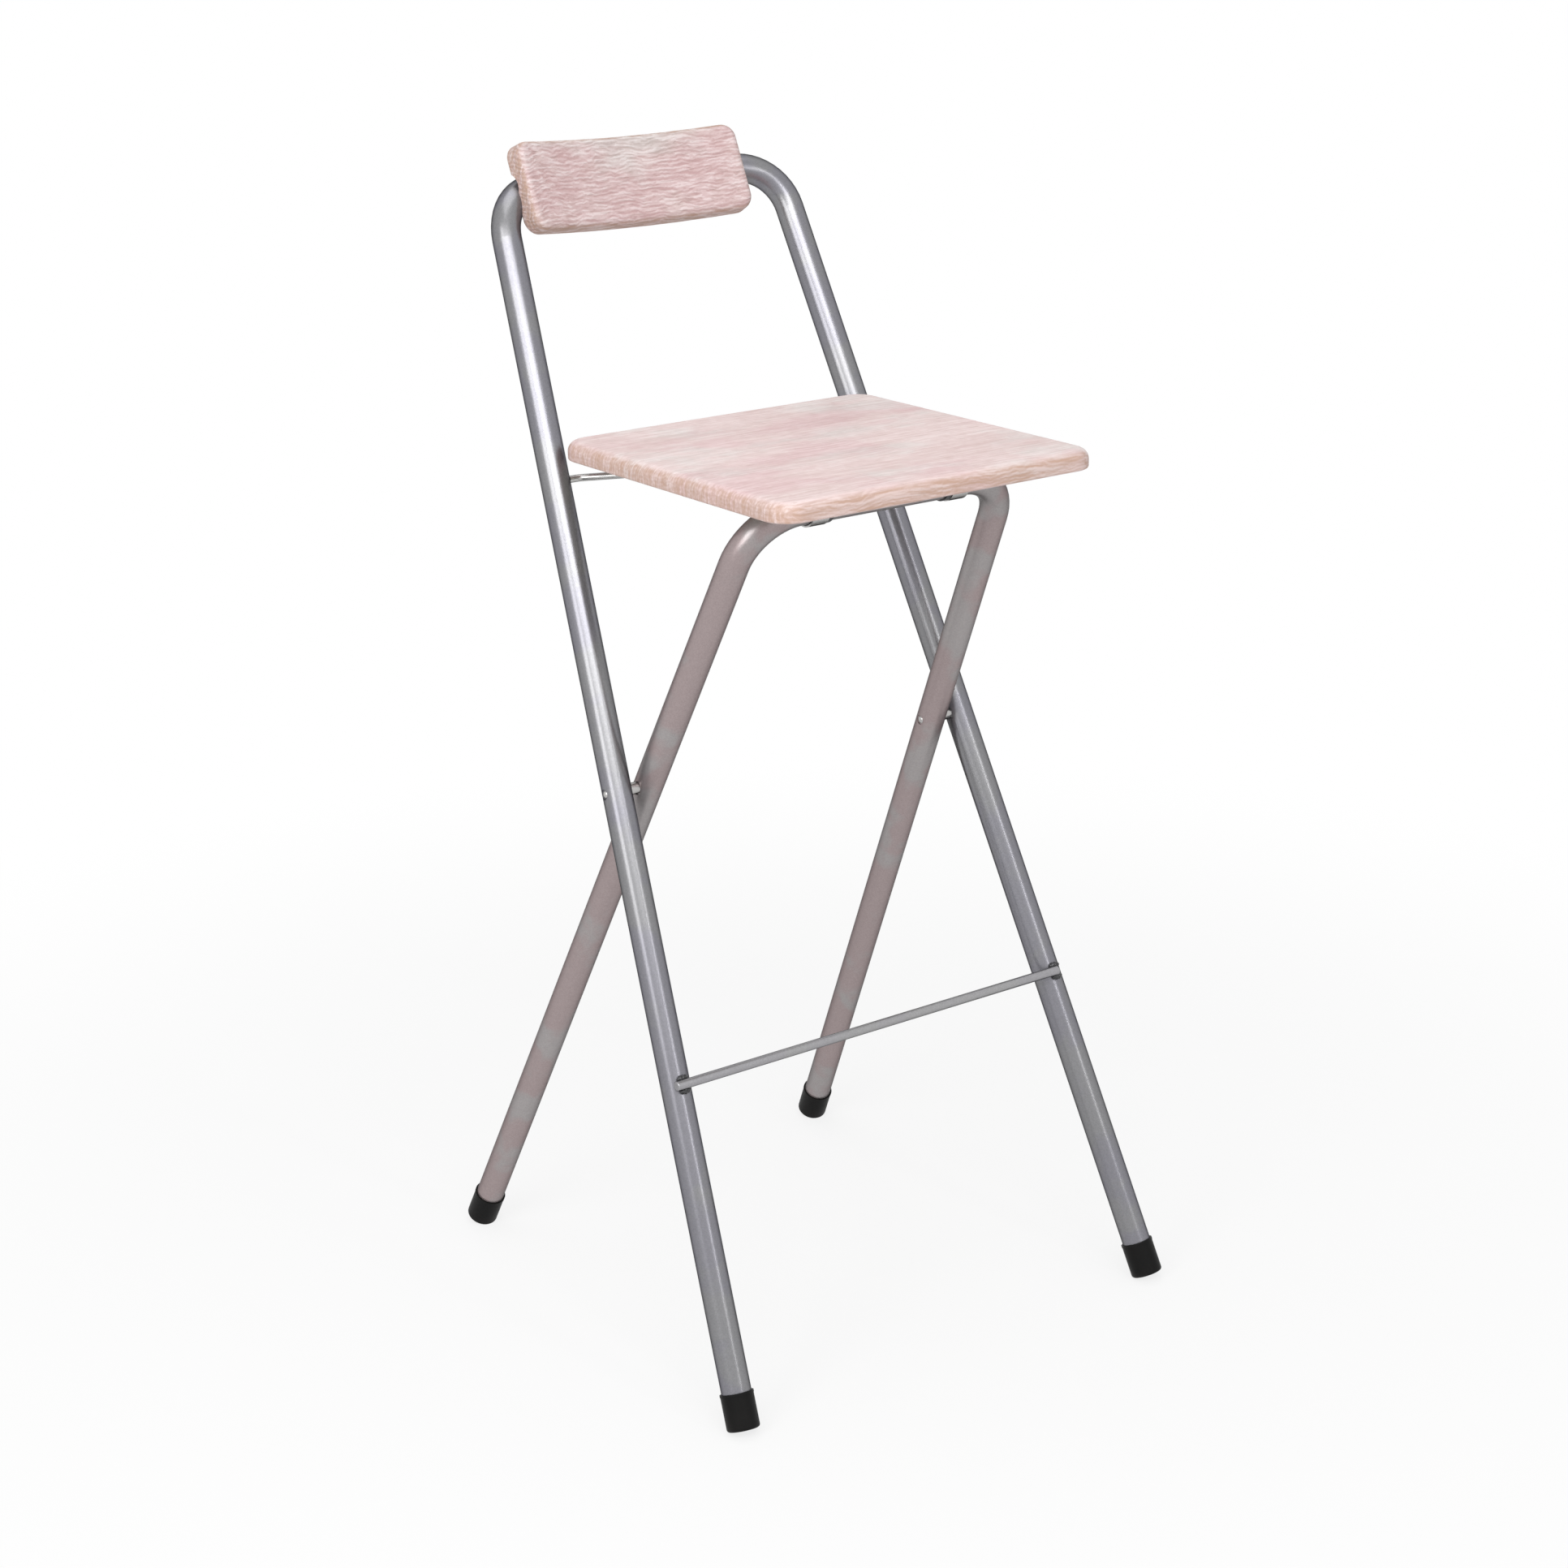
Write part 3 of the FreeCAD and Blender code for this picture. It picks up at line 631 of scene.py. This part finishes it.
class STOOL_OT_welds(StoolOperator):
    """Model the rippled weld beads between the foot rest rod and the long legs"""

    bl_idname = "stool.welds"
    bl_label = "Model the Weld Beads"

    def execute(self, context):
        settings = context.scene.stool_welds
        chance = random.Random(settings.seed)
        mesh = bmesh.new()
        boxes = solid_boxes(frame["nodes"]["rung_welds"])
        if not boxes:
            raise RuntimeError("The frame holds no weld beads")
        for low, high in sorted(boxes, key=lambda box: tuple(box[0])):
            self.add_bead(mesh, (low + high) / 2, (high - low) / 2, settings, chance)
        bmesh.ops.recalc_face_normals(mesh, faces=mesh.faces)
        data = bpy.data.meshes.new("weld_beads")
        mesh.to_mesh(data)
        mesh.free()
        beads = bpy.data.objects.new("weld_beads", data)
        context.scene.collection.objects.link(beads)
        # The beads get near black metal: painted shadow.
        data.materials.append(painted_shadow_weld_metal(settings))
        for face in data.polygons:
            face.use_smooth = True
        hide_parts("rung_welds")
        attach(beads, "long_frame")
        return {"FINISHED"}

    def add_bead(self, mesh, middle, half, settings, chance):
        """A lump that tapers to its ends, with ripples where each drop of metal set."""
        rings, sides = 28, 20
        wobble, lobes, twist = 0.04, 3, 5
        phase = chance.uniform(0, math.tau)
        rows = []
        for ring in range(1, rings):
            along = -math.cos(math.pi * ring / rings)
            swell = (1 - along * along) ** 0.5
            ripple = 1 + settings.depth * math.sin(along * math.pi * settings.ripples + phase)
            row = []
            for side in range(sides):
                turn = math.tau * side / sides
                uneven = 1 + wobble * math.sin(lobes * turn + twist * along + phase)
                reach = swell * ripple * uneven / (1 + settings.depth)
                offset = Vector((half.x * along, half.y * reach * math.cos(turn),
                                 half.z * reach * math.sin(turn)))
                row.append(mesh.verts.new(middle + offset))
            rows.append(row)
        for first, second in zip(rows, rows[1:]):
            for side in range(sides):
                after = (side + 1) % sides
                mesh.faces.new((first[side], first[after], second[after], second[side]))
        for row, way in ((rows[0], -1), (rows[-1], 1)):
            tip = mesh.verts.new(middle + Vector((way * half.x, 0, 0)))
            for side in range(sides):
                after = (side + 1) % sides
                rim = (row[after], row[side]) if way < 0 else (row[side], row[after])
                mesh.faces.new((*rim, tip))


class STOOL_OT_boards(StoolOperator):
    """Cover the seat and the back rest in oak effect foil"""

    bl_idname = "stool.boards"
    bl_label = "Cover the Boards"

    def execute(self, context):
        settings = context.scene.stool_oak
        finish_node("seat_board", seat_foil(settings))
        front = self.front_normal(frame["nodes"]["back_pad"])
        # The back rest gets a darker copy of the seat's foil: painted shade.
        back_foil = oak_foil("Back rest oak foil with painted shade", settings, front, BACK_GRAIN,
                             settings.back_relief, settings.back_painted_shade)[0]
        finish_node("back_pad", back_foil)
        return {"FINISHED"}

    def front_normal(self, piece):
        """The direction that most of a board's front faces."""
        steepest = -0.5
        total = Vector((0, 0, 0))
        for face in piece.data.polygons:
            if face.normal.y < steepest:
                total += face.normal * face.area
        return tuple(total.normalized())


class STOOL_OT_steel(StoolOperator):
    """Finish the rivets, spacers, straps, screws and the wire stay in plated steel"""

    bl_idname = "stool.steel"
    bl_label = "Plate the Steel Parts"

    def execute(self, context):
        material = plated_steel(context.scene.stool_steel)
        for name in nodes_of_slot("bright_steel"):
            finish_node(name, material)
        return {"FINISHED"}


class STOOL_OT_feet(StoolOperator):
    """Finish the rubber feet and the plastic liners"""

    bl_idname = "stool.feet"
    bl_label = "Finish the Feet and Liners"

    def execute(self, context):
        settings = context.scene.stool_rubber
        for slot, material in (("black_rubber", black_rubber(settings)),
                               ("black_plastic", black_plastic(settings))):
            for name in nodes_of_slot(slot):
                finish_node(name, material)
        return {"FINISHED"}


class STOOL_OT_stage(StoolOperator):
    """Set up the floor, the studio lamps, the white surroundings and the camera"""

    bl_idname = "stool.stage"
    bl_label = "Set the Stage"

    def execute(self, context):
        settings = context.scene.stool_stage
        self.add_floor(context, settings)
        self.add_world(context, settings)
        self.add_lamps(context)
        self.add_camera(context, settings)
        context.scene.view_settings.view_transform = "Standard"
        return {"FINISHED"}

    def add_floor(self, context, settings):
        """A pale floor that turns to plain white away from the stool, where it is seen."""
        half = settings.floor_size / 2
        data = bpy.data.meshes.new("floor")
        outline = [(-half, -half, 0), (half, -half, 0), (half, half, 0), (-half, half, 0)]
        data.from_pydata(outline, [], [(0, 1, 2, 3)])
        floor = bpy.data.objects.new("floor", data)
        context.scene.collection.objects.link(floor)
        material, tree, shader, place = new_material("Pale floor")
        shader.inputs["Base Color"].default_value = rgba(settings.floor)
        shader.inputs["Roughness"].default_value = 0.8
        shader.inputs["Specular IOR Level"].default_value = 0.2
        white = tree.add("ShaderNodeEmission", {"Color": (1, 1, 1, 1), "Strength": 1.0})
        away = tree.vectors("LENGTH", place, output="Value")
        whiteness = tree.ramp(away, settings.fade_start, settings.fade, settings.near_white, 1.0)
        path = tree.add("ShaderNodeLightPath").outputs
        seen = tree.maths("MAXIMUM", path["Is Camera Ray"], path["Is Glossy Ray"])
        factor = tree.maths("MULTIPLY", whiteness, seen)
        mixed = tree.add("ShaderNodeMixShader", {0: factor, 1: shader.outputs[0], 2: white.outputs[0]})
        output = tree.tree.nodes["Material Output"]
        tree.put(output.inputs["Surface"], mixed.outputs[0])
        data.materials.append(material)

    def add_world(self, context, settings):
        """White where it is seen, reflected or seen through glass, and a soft even light."""
        world = bpy.data.worlds.new("White studio")
        world.use_nodes = True
        context.scene.world = world
        tree = Tree(world.node_tree)
        path = tree.add("ShaderNodeLightPath").outputs
        seen = tree.maths("MAXIMUM", path["Is Camera Ray"], path["Is Transmission Ray"])
        seen = tree.maths("MAXIMUM", seen, path["Is Glossy Ray"])
        background = world.node_tree.nodes["Background"]
        background.inputs["Color"].default_value = (1, 1, 1, 1)
        tree.put(background.inputs["Strength"],
                 tree.ramp(seen, 0.0, 1.0, settings.ambient, 1.0, False))

    def add_lamps(self, context):
        for lamp in LAMPS:
            light = bpy.data.lights.new(lamp.name, "AREA")
            light.shape = "RECTANGLE"
            light.size = lamp.width
            light.size_y = lamp.height
            light.energy = lamp.watts
            holder = bpy.data.objects.new(lamp.name, light)
            holder.location = lamp.place
            aim = LAMP_AIM - Vector(lamp.place)
            holder.rotation_euler = aim.to_track_quat("-Z", "Y").to_euler()
            context.scene.collection.objects.link(holder)

    def add_camera(self, context, settings):
        heading, rise, roll = settings.heading, settings.rise, settings.roll
        back = Vector((math.sin(heading) * math.cos(rise), -math.cos(heading) * math.cos(rise),
                       math.sin(rise)))
        level = Vector((math.cos(heading), math.sin(heading), 0))
        upward = back.cross(level)
        right = level * math.cos(roll) + upward * math.sin(roll)
        up = upward * math.cos(roll) - level * math.sin(roll)
        data = bpy.data.cameras.new("camera")
        data.sensor_width = 36.0
        data.sensor_fit = "AUTO"
        data.lens = settings.lens
        camera = bpy.data.objects.new("camera", data)
        turn = Matrix((right, up, back)).transposed().to_4x4()
        camera.matrix_world = Matrix.Translation(settings.place) @ turn
        context.scene.collection.objects.link(camera)
        context.scene.camera = camera


OPERATORS = (STOOL_OT_tubes, STOOL_OT_welds, STOOL_OT_boards, STOOL_OT_steel, STOOL_OT_feet,
             STOOL_OT_stage)


class STOOL_PT_panel(Panel):
    """Buttons and settings of the folding bar stool"""

    bl_idname = "STOOL_PT_panel"
    bl_label = "Folding Bar Stool"
    bl_space_type = "VIEW_3D"
    bl_region_type = "UI"
    bl_category = "Stool"

    def draw(self, context):
        for operator in OPERATORS:
            self.layout.operator(operator.bl_idname)
        for name in SETTINGS:
            box = self.layout.box()
            settings = getattr(context.scene, name)
            for prop in settings.bl_rna.properties:
                if prop.identifier not in {"rna_type", "name"}:
                    box.prop(settings, prop.identifier)


def register():
    for settings in SETTINGS.values():
        bpy.utils.register_class(settings)
    for name, settings in SETTINGS.items():
        setattr(bpy.types.Scene, name, PointerProperty(type=settings))
    for cls in (*OPERATORS, STOOL_PT_panel):
        bpy.utils.register_class(cls)


def unregister():
    for cls in reversed((*OPERATORS, STOOL_PT_panel)):
        bpy.utils.unregister_class(cls)
    for name, settings in SETTINGS.items():
        delattr(bpy.types.Scene, name)
        bpy.utils.unregister_class(settings)


def main():
    register()
    bpy.ops.stool.stage()
    bpy.ops.stool.tubes()
    bpy.ops.stool.welds()
    bpy.ops.stool.boards()
    bpy.ops.stool.steel()
    bpy.ops.stool.feet()


if __name__ == "__main__":
    main()
